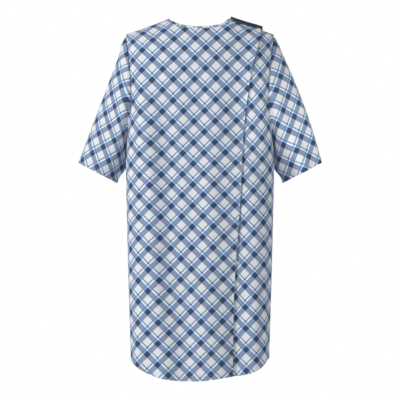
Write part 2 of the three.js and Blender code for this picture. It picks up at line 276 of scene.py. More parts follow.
def outward_normals(points, outward, around=False):
    """Normals of a grid, turned to the side that outward points to."""
    normals = grid_normals(points, around)
    return normals if (normals * outward).sum() >= 0 else -normals


def face_outside(obj):
    """Turns every face of a closed mesh outwards."""
    work = bmesh.new()
    work.from_mesh(obj.data)
    bmesh.ops.recalc_face_normals(work, faces=work.faces)
    work.to_mesh(obj.data)
    work.free()


def tube_mesh(name, centres, normals, halves, material, uv_scale, uv_start, sides=16):
    """Flattened tube along a line: halves are its half thickness and half width."""
    tangents = unit(np.gradient(centres, axis=0))
    normals = unit(normals - (normals * tangents).sum(-1, keepdims=True) * tangents)
    across = np.cross(tangents, normals)
    turn = 2 * math.pi * np.arange(sides) / sides
    thick = np.sign(np.cos(turn)) * np.abs(np.cos(turn)) ** BAND_SQUARENESS * halves[0]
    wide = np.sign(np.sin(turn)) * np.abs(np.sin(turn)) ** BAND_SQUARENESS * halves[1]
    rings = (centres[:, None] + normals[:, None] * thick[None, :, None]
             + across[:, None] * wide[None, :, None])
    count = len(centres)
    verts = rings.reshape(-1, 3)
    length = np.concatenate([[0], np.linalg.norm(np.diff(centres, axis=0), axis=1).cumsum()])
    faces, loops = [], []
    for k in range(count - 1):
        for m in range(sides):
            n = (m + 1) % sides
            corners = ((k, m), (k, n), (k + 1, n), (k + 1, m))
            faces.append([a * sides + b for a, b in corners])
            loops += [(length[a], wide[b]) for a, b in corners]
    for k, order in ((0, 1), (count - 1, -1)):
        faces.append([k * sides + m for m in range(sides)][::order])
        loops += [(length[k], w) for w in wide[::order]]
    uvs = np.array(loops) / np.array(uv_scale) + np.array(uv_start)
    obj = new_mesh(name, verts, faces, material, uvs)
    face_outside(obj)
    return obj


def contour(points, normals, field, level):
    """Line on a grid where a field crosses a level, one point for each column."""
    line, out = [], []
    for j in range(len(points)):
        above = field[j] >= level
        change = np.nonzero(above[:-1] != above[1:])[0]
        if not len(change):
            continue
        i = change[-1]
        share = (level - field[j, i]) / (field[j, i + 1] - field[j, i])
        line.append(points[j, i] * (1 - share) + points[j, i + 1] * share)
        out.append(normals[j, i])
    return np.array(line), np.array(out)


def on_line(place, distance, values):
    """Point or normal at a distance along a line."""
    return np.array([np.interp(place, distance, values[:, k]) for k in range(3)])


def stitch_mesh(name, rows, material):
    """Sewing stitches half sunk in the cloth; each row is a line and the cloth's normals on it."""
    sides = STITCH_SIDES
    turn = 2 * math.pi * np.arange(sides) / sides
    verts, faces = [], []
    for line, out in rows:
        distance = np.concatenate([[0], np.linalg.norm(np.diff(line, axis=0), axis=1).cumsum()])
        margin = STITCH_PITCH / 2
        for middle in np.arange(margin, distance[-1] - margin, STITCH_PITCH):
            ends = [on_line(middle + step * STITCH_LENGTH / 2, distance, line) for step in (-1, 1)]
            normal = unit(on_line(middle, distance, out))
            along = ends[1] - ends[0]
            side = unit(np.cross(along, normal))
            base = len(verts)
            verts += [ends[0], ends[1]]
            for share in STITCH_SHOULDERS:
                centre = ends[0] + along * share
                ring = [side * math.cos(t) + normal * math.sin(t) for t in turn]
                verts += [centre + STITCH_RADIUS * spoke for spoke in ring]
            for m in range(sides):
                n = (m + 1) % sides
                a, b, c, d = base + 2 + m, base + 2 + n, base + 2 + sides + n, base + 2 + sides + m
                faces += [[base, b, a], [a, b, c, d], [base + 1, d, c]]
    obj = new_mesh(name, np.array(verts), faces, material)
    face_outside(obj)
    return obj


def turned_mesh(name, profile, x, z, material, sides=40):
    """Solid or ring of revolution about a line along Y; the profile closes or ends on the line."""
    turn = 2 * math.pi * np.arange(sides) / sides
    solid = profile[0][0] == 0
    rings = profile[1:-1] if solid else profile
    verts = [(x + r * math.cos(t), y, z + r * math.sin(t)) for r, y in rings for t in turn]
    spans = len(rings) - 1 if solid else len(rings)
    faces = []
    for r in range(spans):
        low, high = r * sides, ((r + 1) % len(rings)) * sides
        faces += [[low + k, low + (k + 1) % sides, high + (k + 1) % sides, high + k]
                  for k in range(sides)]
    if solid:
        faces.append(list(range(sides)))
        faces.append([(len(rings) - 1) * sides + k for k in range(sides)])
    obj = new_mesh(name, np.array(verts), faces, material)
    face_outside(obj)
    bevel = obj.modifiers.new("soft_edges", "BEVEL")
    bevel.width = MOULDING_BEVEL * MM
    bevel.segments = 2
    bevel.limit_method = "ANGLE"
    return obj


# ---- materials
WEAVE_PER_REPEAT = 70  # bumps of the weave along one plaid repeat
TWILL_RIBS = 900  # ribs along a metre of tape


def linear(hex_colour):
    """Linear colour with alpha from six hexadecimal digits of sRGB."""
    channels = [int(hex_colour[k:k + 2], 16) / 255 for k in (0, 2, 4)]
    return [c / 12.92 if c <= 0.04045 else ((c + 0.055) / 1.055) ** 2.4 for c in channels] + [1]


def crossing(one, other):
    """Colour where two stripes cross, whichever of them is named first."""
    return linear(CROSSINGS.get((one, other)) or CROSSINGS[(other, one)])


class Nodes:
    """Short way to write a material's nodes; its where is the point's place, in metres."""

    def __init__(self, name):
        self.material = bpy.data.materials.new(name)
        self.material.use_nodes = True
        self.tree = self.material.node_tree
        self.shader = self.tree.nodes["Principled BSDF"]
        self.where = self.add("ShaderNodeTexCoord").outputs["Object"]

    def add(self, kind, **settings):
        node = self.tree.nodes.new(kind)
        for key, value in settings.items():
            setattr(node, key, value)
        return node

    def put(self, value, socket):
        """Sets a socket to a value, or links it to another node's output."""
        if isinstance(value, bpy.types.NodeSocket):
            self.tree.links.new(value, socket)
        else:
            socket.default_value = value

    def math(self, operation, *values):
        node = self.add("ShaderNodeMath", operation=operation)
        for value, socket in zip(values, node.inputs):
            self.put(value, socket)
        return node.outputs[0]

    def split(self, vector):
        node = self.add("ShaderNodeSeparateXYZ")
        self.put(vector, node.inputs[0])
        return node.outputs

    def wave(self, value, count):
        """Sine wave that goes up and down count times in each unit of the value."""
        return self.math("SINE", self.math("MULTIPLY", value, 2 * math.pi * count))

    def ramp(self, factor, stops):
        node = self.add("ShaderNodeValToRGB")
        elements = node.color_ramp.elements
        while len(elements) < len(stops):
            elements.new(0.5)
        for element, (position, colour) in zip(elements, stops):
            element.position = position
            element.color = colour
        self.put(factor, node.inputs[0])
        return node.outputs[0]

    def mix(self, factor, a, b, blend="MIX"):
        node = self.add("ShaderNodeMix", data_type="RGBA", blend_type=blend)
        for value, number in ((factor, 0), (a, 6), (b, 7)):
            self.put(value, node.inputs[number])
        return node.outputs[2]

    def noise(self, scale, detail=3):
        node = self.add("ShaderNodeTexNoise")
        self.put(scale, node.inputs["Scale"])
        self.put(detail, node.inputs["Detail"])
        self.put(self.where, node.inputs["Vector"])
        return node.outputs["Fac"]

    def base(self, colour):
        self.put(colour, self.shader.inputs["Base Color"])

    def bump(self, height, strength, distance):
        node = self.add("ShaderNodeBump")
        self.put(strength, node.inputs["Strength"])
        self.put(distance, node.inputs["Distance"])
        self.put(height, node.inputs["Height"])
        self.put(node.outputs[0], self.shader.inputs["Normal"])

    def surface(self, **values):
        for key, value in values.items():
            self.put(value, self.shader.inputs[key.replace("_", " ")])


def stripe_stops(colours):
    """Colour stops of one repeat; it starts and ends in the middle of the dark band."""
    order = ["band", "field", "line", "white", "band"]
    ends = [STRIPE_ENDS[name] for name in order[:-1]]
    stops = [(0.0, colours["band"])]
    for before, after, end in zip(order, order[1:], ends):
        stops.append((end - STRIPE_BLUR, colours[before]))
        stops.append((end + STRIPE_BLUR, colours[after]))
    return stops


def flannel_material():
    """Plaid brushed cotton. The piece's own UVs count repeats along its two yarn directions."""
    n = Nodes("flannel")
    u, v, _ = n.split(n.add("ShaderNodeUVMap", uv_map="plaid").outputs[0])
    ragged = n.math("MULTIPLY", n.math("SUBTRACT", n.noise(900, 2), 0.5), 0.02)
    one = n.math("FRACT", n.math("ADD", u, ragged))
    other = n.math("FRACT", n.math("ADD", v, ragged))
    rows = {name: n.ramp(other, stripe_stops({k: crossing(name, k) for k in STRIPE_ENDS}))
            for name in STRIPE_ENDS}
    colour = rows["field"]
    for name in ("band", "line", "white"):
        chosen = {k: [float(k == name)] * 3 + [1] for k in STRIPE_ENDS}
        colour = n.mix(n.ramp(one, stripe_stops(chosen)), colour, rows[name])
    fuzz = [(0.3, [0.9, 0.9, 0.9, 1]), (0.75, [1.06, 1.06, 1.06, 1])]
    blotch = [(0.3, [0.97, 0.97, 0.975, 1]), (0.7, [1.0, 1.0, 1.0, 1])]
    for scale, detail, stops in ((700, 4, fuzz), (9, 2, blotch)):
        colour = n.mix(1.0, colour, n.ramp(n.noise(scale, detail), stops), "MULTIPLY")
    n.base(colour)
    weave = n.math("MULTIPLY", n.wave(u, WEAVE_PER_REPEAT), n.wave(v, WEAVE_PER_REPEAT))
    n.bump(n.math("ADD", n.math("MULTIPLY", weave, 0.35), n.noise(1500)), 0.35, 0.0004)
    n.surface(Roughness=0.95, Sheen_Weight=0.04, Sheen_Roughness=0.5, Specular_IOR_Level=0.12)
    return n.material


def twill_material(name, colour, lighter):
    """Woven tape with a fine diagonal rib."""
    n = Nodes(name)
    x, _, z = n.split(n.where)
    rib = n.wave(n.math("ADD", x, z), TWILL_RIBS)
    n.base(n.ramp(n.noise(800), [(0.3, colour), (0.75, lighter)]))
    n.bump(n.math("ADD", n.math("MULTIPLY", rib, 0.5), n.noise(2000, 2)), 0.5, 0.0003)
    n.surface(Roughness=0.85, Sheen_Weight=0.1, Specular_IOR_Level=0.3)
    return n.material


def resin_material():
    """Moulded snap resin, nearly smooth."""
    n = Nodes("snap_resin")
    stops = [(0.35, [0.018, 0.022, 0.036, 1]), (0.7, [0.03, 0.035, 0.055, 1])]
    n.base(n.ramp(n.noise(400), stops))
    n.bump(n.noise(3000, 2), 0.15, 0.0001)
    n.surface(Roughness=0.38, Specular_IOR_Level=0.5)
    return n.material


def thread_material(name, dark, light):
    n = Nodes(name)
    n.base(n.ramp(n.noise(1200, 2), [(0.3, linear(dark)), (0.7, linear(light))]))
    n.surface(Roughness=0.7, Sheen_Weight=0.2)
    return n.material


def label_material():
    n = Nodes("label")
    n.base(n.ramp(n.noise(600), [(0.3, linear("E4E4E2")), (0.7, linear("F2F2F0"))]))
    n.bump(n.noise(2500, 2), 0.3, 0.0002)
    n.surface(Roughness=0.55, Sheen_Weight=0.1)
    return n.material


# ---- plaid coordinates
def repeats(right, down, yarns=BODY_YARNS):
    """Plaid repeats along the two yarn directions, at a distance from the middle of a dark check."""
    place = np.stack([right, down], -1)
    return place @ np.linalg.inv(np.array(yarns))


def panel_repeats(x, z, face, diamond, yarns=BODY_YARNS):
    """Plaid repeats on a body panel that has the middle of a dark check at diamond."""
    place = [np.atleast_1d(np.asarray(part, float)) for part in diamond]
    right = flat_u(x, z, face) - flat_u(*place, face)[0]
    right += SIDE_EASE * (x - diamond[0] - right)
    down = flat_v(*place, face)[0] - flat_v(x, z, face)
    return repeats(-face * right, down, yarns)


# ---- panels
TOP_ROUNDS = 6  # rounds of placing the top edge, whose height depends on x
CROWDING = 1.35  # above 1 the columns of a panel crowd towards its edge
LIFT_OVER = 90  # the outer panel rises over this width from its side seam
SEWN_FROM, SEWN_OVER = 80, 30  # it is sewn down at the shoulder from this x outwards
TAPED_FROM, TAPED_OVER = 80, 30  # and lies close under the tape on the other side
SEAM_OVER = 60  # height over which it comes free below the shoulder seam
SIDE_CALM = 48  # the folds fade over this width towards the side seams
EDGE_CROWDING, CROWDED_REACH = 0.8, 12  # the inner panel's columns crowd under the edge
DITCH_DEPTH = 3.4  # the edge above presses this far into the inner panel
UNDER_SINK = 1.5  # which lies this much deeper wherever it is covered

# Folds down the back: height, x, width, lean, its share of the height above, and share added below.
BACK_FOLDS = [
    (11.0, 152, 25, -1, 1, 0), (-9.0, 92, 27, -1, 1, -0.35), (10.0, -34, 38, 0.3, 1, 0),
    (-17.0, -110, 32, 0, 0.12, 0.88), (6.0, -164, 26, 0, 1, 0), (5.0, -200, 16, 0, 1, 0),
    (4.0, 188, 24, 0, 1, 0),
]
FOLD_LEAN, FOLD_LEAN_Z = 0.07, -560  # slope of a lean of 1, and where a leaning fold is at its x


def panel_grid(left, right, shares, top):
    """x and z of a panel's grid; columns run from the side at +X, rows from the top edge down."""
    def between(z, share):
        return left(z) + (right(z) - left(z)) * share

    top_x = between(0.0, shares)
    for _ in range(TOP_ROUNDS):
        top_x = between(top(top_x), shares)
    shoulder = shoulder_z(top_x)
    start = np.arccos(1 - np.clip(shoulder - top(top_x), 0, None) / SHOULDER_ROUND)
    steps = np.linspace(0, 1, ROLL_ROWS, endpoint=False)
    turn = start[:, None] + (math.pi / 2 - start[:, None]) * steps
    rolled = shoulder[:, None] - SHOULDER_ROUND * (1 - np.cos(turn))
    low = shoulder[:, None] - SHOULDER_ROUND
    hem = hem_z(between(HEM_Z, shares))[:, None]
    dropped = low + (hem - low) * np.linspace(0, 1, DROP_ROWS)
    z = np.concatenate([rolled, dropped], 1)
    return between(z, shares[:, None]), z


def neck_top(drop):
    """Top edge of a panel whose neckline dips by drop in the middle."""
    return lambda x: np.where(np.abs(x) < NECK_HALF, neckline_z(x, drop), shoulder_z(x))


def outer_top(x):
    return np.where(x < -NECK_HALF, shoulder_z(x) - CREST_GAP, neck_top(NECK_DROP_BACK)(x))


def outer_edge_x(z):
    return smooth_table(OUTER_EDGE_X, z)


def outer_lift(x, z):
    """Lift of the outer panel over the inner one: none where it is sewn, little by the tape."""
    from_side = smooth((edge_half_width(z) - x) / LIFT_OVER)
    sewn = smooth((x - SEWN_FROM) / SEWN_OVER)
    taped = smooth((-x - TAPED_FROM) / TAPED_OVER)
    below_seam = smooth((shoulder_z(x) - z) / SEAM_OVER)
    free = OUTER_LIFT * (1 - sewn + sewn * below_seam)
    crest = CREST_LIFT + (OUTER_LIFT - CREST_LIFT) * below_seam
    return from_side * (free + (crest - free) * taped)


def surface_points(x, z, face, lift):
    """Points of a panel pushed out of the plain body surface by lift."""
    plain = np.stack([x, body_y(x, z, face), z], -1)
    normals = outward_normals(plain, np.array([0, face, 0]))
    return plain + normals * lift[..., None], normals


def turned_over(from_edge, width):
    """1 where the cloth is turned over, up to width from its edge, and 0 beyond."""
    return 1 - smooth((from_edge - width) / FOLD_STEP)


def hem_thickness(z):
    """Thickness of a panel's grid, with the turned hem."""
    return CLOTH + HEM_EXTRA * turned_over(z - z[:, -1:], HEM_FOLD)


def away_from_sides(x, z):
    """0 on the side seams, where no fold may pull the panels apart, and 1 away from them."""
    return smooth((edge_half_width(z) - np.abs(x)) / SIDE_CALM)


def side_drag(x, z, height, wave, rise, middle, low):
    """Drag lines that slant from the armpit across the panel."""
    lines = height * np.cos((np.abs(x) + rise * z) / wave)
    return lines * bump(np.abs(x), *middle) * bump(z, *low)


def back_drape(x, z):
    """Soft folds that both back panels share, in millimetres outwards."""
    down = -z
    grown = smooth((down - 90) / 300)
    low = smooth((down - 520) / 450)
    lean = FOLD_LEAN * (FOLD_LEAN_Z - z)
    folds = sum(height * bump(x, middle + slant * lean, width) * (high + more * low)
                for height, middle, width, slant, high, more in BACK_FOLDS)
    ripple = 1.5 * np.cos((x + 0.1 * z) / 13 + 1.3 * np.sin(z / 210)) * (0.3 + 0.7 * low)
    ripple += 1.2 * np.sin((x - 0.32 * z) / 21 + 0.8)
    ripple = ripple * smooth((down - 70) / 120)
    blades = 2.5 * bump(z, -190, 90) * (bump(x, -70, 60) + bump(x, 75, 60))
    drag = side_drag(x, z, 2.4, 17, 0.75, (178, 40), (-330, 110))
    return (grown * folds + ripple + drag) * away_from_sides(x, z) + blades


def outer_drape(x, z):
    """The same folds, lifted over the inner panel."""
    return outer_lift(x, z) + back_drape(x, z)


def front_drape(x, z):
    """Soft folds of the front, hanging from the chest."""
    down = -z
    grown = smooth((down - 200) / 400)
    low = smooth((down - 500) / 500)
    folds = 7.0 * np.cos((x + 0.03 * z) / 31 + 0.4) * (0.5 + 0.5 * low)
    folds += 3.0 * np.cos((x - 30 + 0.04 * z) / 17 + 0.5 * np.sin(z / 150)) * low
    drag = side_drag(x, z, 2.0, 18, 0.8, (170, 45), (-320, 110))
    return (grown * folds + drag) * away_from_sides(x, z)


def crowded(count):
    """Shares from 0 to 1 that lie closest together near 0."""
    return np.linspace(0, 1, count + 1) ** CROWDING


def hem_stitches(skin, normals, z):
    """Line of stitches just inside the turned hem."""
    return contour(skin, normals, z - z[:, -1:], HEM_FOLD - STITCH_IN)


def hemmed_panel(name, x, z, face, lift, uv, flannel):
    """A panel with a turned hem, and its row of stitches."""
    points, normals = surface_points(x, z, face, lift)
    thickness = hem_thickness(z)
    cloth = sheet_mesh(name, points, uv, flannel, thickness, np.array([0, face, 0]))
    skin = points + normals * thickness[..., None] / 2
    return cloth, [hem_stitches(skin, normals, z)]


def build_outer_back(flannel):
    """The overlapping panel, its free edge turned twice and a little wavy."""
    x, z = panel_grid(edge_half_width, outer_edge_x, crowded(96), outer_top)
    from_edge = x - outer_edge_x(z)
    down = -z
    flutter = 2.4 * bump(z, -100, 42) + 0.9 * np.sin(down / 33) * smooth((down - 60) / 100)
    curl = bump(from_edge, 0, 22) * flutter
    tuck_in = -1.0 * bump(from_edge, 0, 26) * smooth((down - 120) / 160)
    lift = outer_drape(x, z) + curl + tuck_in
    points, normals = surface_points(x, z, 1, lift)
    edge_thickness = CLOTH + EDGE_EXTRA * turned_over(from_edge, EDGE_FOLD)
    thickness = np.maximum(hem_thickness(z), edge_thickness)
    uv = panel_repeats(x, z, 1, BODY_DIAMOND)
    cloth = sheet_mesh("outer_back", points, uv, flannel, thickness, BEHIND)
    skin = points + normals * thickness[..., None] / 2
    turned = [a.swapaxes(0, 1) for a in (skin, normals, from_edge)]
    edge_row = contour(*turned, EDGE_FOLD - STITCH_IN)
    return cloth, [hem_stitches(skin, normals, z), edge_row]


def build_inner_back(flannel):
    """The panel under the overlap; the edge above it presses a narrow ditch into it."""
    shares = 1 - crowded(84)[::-1]
    x, z = panel_grid(lambda h: np.full_like(np.asarray(h, float), INNER_EDGE_X),
                      lambda h: -edge_half_width(h), shares,
                      neck_top(NECK_DROP_BACK + INNER_NECK_SINK))
    beyond = x - outer_edge_x(z)
    x = x - EDGE_CROWDING * beyond * bump(beyond, 0, CROWDED_REACH) * smooth(-z / 60)
    beyond = x - outer_edge_x(z)
    under = smooth((beyond + 10) / 60)
    ditch = DITCH_DEPTH * bump(beyond, -1.6, 1.8) * smooth((-z - 30) / 40)
    lift = back_drape(x, z) - UNDER_SINK * under * smooth(-z / 200) - ditch
    uv = panel_repeats(x, z, 1, INNER_DIAMOND, INNER_YARNS)
    return hemmed_panel("inner_back", x, z, 1, lift, uv, flannel)


def build_front(flannel):
    """The front panel, from side seam to side seam, its columns crowded at both."""
    half = crowded(56)
    shares = np.concatenate([half / 2, 1 - half[::-1][1:] / 2])
    x, z = panel_grid(edge_half_width, lambda h: -edge_half_width(h), shares,
                      neck_top(NECK_DROP_FRONT))
    uv = panel_repeats(x, z, -1, FRONT_DIAMOND)
    return hemmed_panel("front", x, z, -1, front_drape(x, z), uv, flannel)


# ---- neck bindings
BINDING_HALF = (1.9, 3.6)  # half thickness and half width of the folded strip
BINDING_PERIOD = (50, 47)  # plaid repeat along the strip and across it
BINDING_START = 0.38  # where across its repeat the plaid starts
BINDING_RINGS = 90
BAND_END_RISE = 4  # the outer strip's free end stands up beside the tape
RISE_FROM, RISE_OVER = 74, 12
TUCK_IN, TUCK_FROM, TUCK_OVER = 2.6, 62, 14  # the sewn end is turned in at the shoulder
BINDING_STITCH = 2.4  # how far below the middle of the strip its stitches run
BINDING_SINK = 0.93  # and how far out, as a share of its half thickness


def build_binding(name, flannel, face, ends, drop, drape, lean, end_rise=0):
    """Folded strip over the cut edge of the neckline, its plaid running straight across."""
    x = np.linspace(*ends, BINDING_RINGS)
    rows = [neckline_z(x, drop) - step for step in (0, BINDING_HALF[1], 2 * BINDING_HALF[1])]
    rise = end_rise * smooth((-x - RISE_FROM) / RISE_OVER)
    z = np.stack(rows, 1) + rise[:, None]
    wide_x = np.repeat(x[:, None], len(rows), 1)
    points, normals = surface_points(wide_x, z, face, drape(wide_x, z))
    tucked = smooth((x - TUCK_FROM) / TUCK_OVER) * (face > 0)
    centres = points[:, 1] + normals[:, 1] * (lean - TUCK_IN * tucked)[:, None]
    middle = np.abs(x).argmin()
    along = np.linalg.norm(np.diff(centres, axis=0), axis=1)[:middle].sum()
    start = (-along / BINDING_PERIOD[0], BINDING_START)
    strip = tube_mesh(name, centres, normals[:, 1], BINDING_HALF, flannel, BINDING_PERIOD, start)
    skin = centres + normals[:, 1] * BINDING_HALF[0] * BINDING_SINK
    low = unit(points[:, 2] - points[:, 0])
    return strip, [(skin + low * BINDING_STITCH, normals[:, 1])]


# ---- snap tapes, snaps, label
TAPE_FROM, TAPE_TO = -95, -193  # x of the ends of both tapes
TAPE_LEVEL = -6.2  # height of the tape's straight base line at its start
TAPE_SLOPE = 0.313
TAPE_BOTTOM, TAPE_TOP = 2.0, 13.6
TAPE_THICKNESS = 1.5
# y and height over the base line of each tape's foot; the outer one bends over the cloth.
STUD_FOOT = [(1.0, TAPE_BOTTOM)]
SOCKET_FOOT = [(6.2, 6.3), (6.6, 5.4), (8.0, 4.8), (10.5, 4.1), (13.5, 3.1), (16.5, 1.8), (19, 0.4)]
FOOT_CLEAR = 3.5  # how far the tape's foot stays off the plain body surface
LABEL_HALF, LABEL_FROM, LABEL_TO, LABEL_THICKNESS = 20, 14, 64, 0.4
SNAP_X = [-111, -145, -179]
SNAP_RISE = 8.2
# Radius and y of each moulding's outline: solid where it starts at radius 0, else with a hole.
SNAP_PROFILES = {
    "ring": [(0, -1.0), (3.6, -1.1), (4.2, -0.8), (4.2, 0.1), (0, 0.1)],
    "stud": [(0, 1.9), (4.2, 1.9), (4.2, 2.5), (3.6, 2.8), (1.7, 2.9), (1.5, 3.3), (1.75, 3.7),
             (1.2, 4.0), (0, 4.0)],
    "socket": [(2.5, 3.1), (4.1, 3.1), (4.4, 3.5), (4.4, 5.2), (3.2, 5.3), (2.5, 5.0)],
    "cap": [(0, 7.1), (4.4, 7.1), (4.5, 7.5), (4.0, 8.0), (2.4, 8.3), (0, 8.3)],
}


def tape_z(x):
    """Height of the straight line that the tapes and snaps follow."""
    return TAPE_LEVEL - TAPE_SLOPE * (TAPE_FROM - x)


def build_tape(name, foot, material, thread):
    """Stiff twill tape that stands along the shoulder; foot is where it lies over the cloth."""
    y, low = foot[0]
    section = [(y, rise) for rise in np.linspace(TAPE_TOP, low + 1, 8)] + foot
    x = np.linspace(TAPE_FROM, TAPE_TO, 70)
    wide_x, out = np.meshgrid(x, [p[0] for p in section], indexing="ij")
    _, rise = np.meshgrid(x, [p[1] for p in section], indexing="ij")
    share = smooth((rise - TAPE_BOTTOM) / (TAPE_TOP - TAPE_BOTTOM))
    ripple = 0.5 * np.sin(wide_x / 9.5) * share**2
    wave = 0.5 * np.sin(wide_x / 15 + 1)
    z = tape_z(wide_x) + rise + wave * share
    if len(foot) > 1:
        out = np.maximum(out, body_y(wide_x, z - CREST_LIFT, 1) + FOOT_CLEAR)
    points = np.stack([wide_x, out + ripple, z], -1)
    uv = np.stack([wide_x / 10, rise / 10], -1)
    tape = sheet_mesh(name, points, uv, material, TAPE_THICKNESS, BEHIND)
    normals = outward_normals(points, BEHIND)
    skin = points + normals * TAPE_THICKNESS / 2
    rows = [(skin[:, k], normals[:, k]) for k in (1, -2)]
    return tape, stitch_mesh(name + "_stitches", rows, thread)


def build_snap(kind, number, resin):
    """One moulding of one snap."""
    x = SNAP_X[number - 1]
    z = tape_z(x) + SNAP_RISE
    return turned_mesh(f"snap_{kind}_moulding_{number}", SNAP_PROFILES[kind], x, z, resin)


def build_label(label):
    """Blank satin label that hangs inside the front, below the neckline."""
    x = np.linspace(LABEL_HALF, -LABEL_HALF, 24)
    z = np.linspace(-NECK_DROP_FRONT - LABEL_FROM, -NECK_DROP_FRONT - LABEL_TO, 30)
    wide_x, wide_z = np.meshgrid(x, z, indexing="ij")
    hang = (z[0] - wide_z) / (z[0] - z[-1])
    curl = -2.6 - 1.6 * hang**2 - 0.8 * hang * np.cos(wide_x / 9)
    points, _ = surface_points(wide_x, wide_z, -1, curl + front_drape(wide_x, wide_z))
    uv = np.stack([wide_x / 10, wide_z / 10], -1)
    return sheet_mesh("label_tag", points, uv, label, LABEL_THICKNESS, AHEAD)


# ---- sleeves
# Each sleeve: its word, side, plaid repeat along each yarn direction, width of cloth for each width
# of sleeve, x and z of the middle of a dark check, and how far it bows out along its top line.
SLEEVES = [
    ("left", 1, ((31.9, 34.7), (-31.0, 29.8)), 1.08, (264.7, -376), 1),
    ("right", -1, ((33.2, 29.9), (-31.8, 35.2)), 0.96, (-289, -301), 14),
]
ARM_TOP = -50
CUFF_OUTER = (375, -444)
CUFF_INNER = (256, -506)
CUFF_HALF_DEPTH = 48
CUFF_FORWARD = -14
SLEEVE_AROUND = 144
SLEEVE_ROWS = 110
SLEEVE_LENGTH = 415
CUFF_FOLD = 20
SEAM_TUCK = 1.0  # the sleeve starts this far inside the edge of the body
SEAM_DROP = 0.8  # this much lower than the armhole
SEAM_SINK = 9  # and this far under the body's surface, over a very short stretch
SINK_SHARE = 0.0105  # of the sleeve's length
ALLOWANCE = 6  # the seam allowance lies this far inside the body
ALLOWANCE_GAP = 2.5  # and at least this far under the body's cloth
ALLOWANCE_REACH = 9  # and at most this much deeper than the armhole itself
ROW_CROWDING = 1.15  # above 1 the rows crowd towards the armhole
ROUND_BY = 0.3  # share of the length where the section is as round as the cuff
CAP_PUFF = 7.0  # how far the gathered top stands up beside the armhole
UNDER_SAG = 16  # how far its underside hangs in
REST_GAP = 1.5  # from the middle of the body's cloth to the middle of the sleeve's
SEAM_DIP = 8  # near the armhole the sleeve may lie this much deeper
DIP_FROM, DIP_OVER = 0.02, 0.06  # shares of the sleeve's length


def armhole_ring(turn):
    """Where the sleeve is sewn on, its depth there without the tuck, and which face it is on."""
    middle, half = (ARM_TOP + UNDERARM_Z) / 2, (ARM_TOP - UNDERARM_Z) / 2
    z = middle + half * np.cos(turn)
    face = np.where(np.sin(turn) >= 0, 1, -1)
    x = edge_half_width(z)
    y = body_y(x, z, face)
    x = x - SEAM_TUCK * (3 - 2 * np.abs(np.sin(turn)))
    return np.stack([x, y, z - SEAM_DROP], -1), y, face


def sleeve_section(turn):
    """Depth round the sleeve from -1 to 1, between a circle and a flattened loop."""
    flat = 1 - (np.sqrt(np.cos(turn) ** 2 + 0.06) - 0.245) / 0.785
    return np.sign(np.sin(turn)) * (0.5 * np.abs(np.sin(turn)) + 0.5 * flat)


def allowance_ring(turn, ring, y, face):
    """The cut edge of the sleeve, turned into the body as a seam allowance."""
    inside = ring - np.array([ALLOWANCE, 0, 0])
    cloth = np.abs(body_y(inside[:, 0], inside[:, 2], face))
    depth = np.minimum(cloth - ALLOWANCE_GAP, np.abs(y) + ALLOWANCE_REACH)
    inside[:, 1] = face * depth * np.abs(np.sin(turn)) ** 0.25
    return inside


def sleeve_grid(bulge):
    """Points of the wearer's left sleeve; columns go round from its top line, rows to the cuff."""
    turn = 2 * math.pi * np.arange(SLEEVE_AROUND) / SLEEVE_AROUND
    start, y0, face = armhole_ring(turn)
    section = sleeve_section(turn)
    cuff_x = (CUFF_OUTER[0] + CUFF_INNER[0]) / 2
    cuff_z = (CUFF_OUTER[1] + CUFF_INNER[1]) / 2
    end = np.stack([cuff_x + (CUFF_OUTER[0] - cuff_x) * np.cos(turn),
                    CUFF_FORWARD + CUFF_HALF_DEPTH * section,
                    cuff_z + (CUFF_OUTER[1] - cuff_z) * np.cos(turn)], -1)
    s = np.linspace(0, 1, SLEEVE_ROWS) ** ROW_CROWDING
    points = start[:, None] * (1 - s)[None, :, None] + end[:, None] * s[None, :, None]
    t, phi = s[None, :], turn[:, None]
    sink = SEAM_SINK * face * np.abs(np.sin(turn)) ** 0.5
    rounder = (1 - t) * smooth(t / ROUND_BY) * (y0.max() * section - y0)[:, None]
    points[..., 1] += rounder - sink[:, None] * bump(t, 0, SINK_SHARE)
    under = bump(np.abs(phi - math.pi), 0, 0.8)
    over = bump(np.minimum(phi, 2 * math.pi - phi), 0, 0.9)
    cap = (CAP_PUFF - 0.3 * bulge) * bump(t, 0.06, 0.07) + bulge * np.sin(math.pi * t) ** 0.8
    points[..., 0] += over * smooth(t / 0.03) * cap
    points[..., 0] -= UNDER_SAG * under * bump(t, 0.62, 0.26) * smooth((1 - t) / 0.3)
    allowance = allowance_ring(turn, start, y0, face)
    return np.concatenate([allowance[:, None], points], 1), turn, np.concatenate([[0], s])


def sleeve_folds(turn, s, shift):
    """Soft folds of a sleeve in millimetres outwards: a valley at the seam, drags to the armpit."""
    phi, t = turn[:, None], s[None, :]
    flank = np.abs(np.sin(phi))
    seam = -3.4 * bump(t, 0.022, 0.028) * flank
    swell = 6.0 * bump(t, 0.26, 0.2) * flank
    toward = np.abs(phi - math.pi)
    drag = 3.6 * np.cos(4.2 * toward + 5.5 * t - 1.6 + shift) * bump(toward, 1.3, 0.75)
    drag = drag * smooth(t / 0.15) * (1 - 0.4 * t)
    hang = 2.4 * np.cos(5 * phi + 3.5 * t + 2.0 * shift) * smooth((t - 0.2) / 0.5) * flank
    return seam + (swell + drag + hang) * smooth(t / 0.02)


def keep_off_body(points, s):
    """Points of the sleeve pushed out to where its inner side rests against the body."""
    y, z = points[..., 1], points[..., 2]
    fill = np.clip(1 - np.abs(y / depth_at(z, y)) ** SECTION_POWER, 0, None)
    wall = edge_half_width(z) * fill ** (1 / SECTION_POWER)
    clear = REST_GAP - SEAM_DIP * (1 - smooth((s - DIP_FROM) / DIP_OVER))
    x = np.maximum(points[..., 0], wall + clear)
    return np.stack([x, y, z], -1)


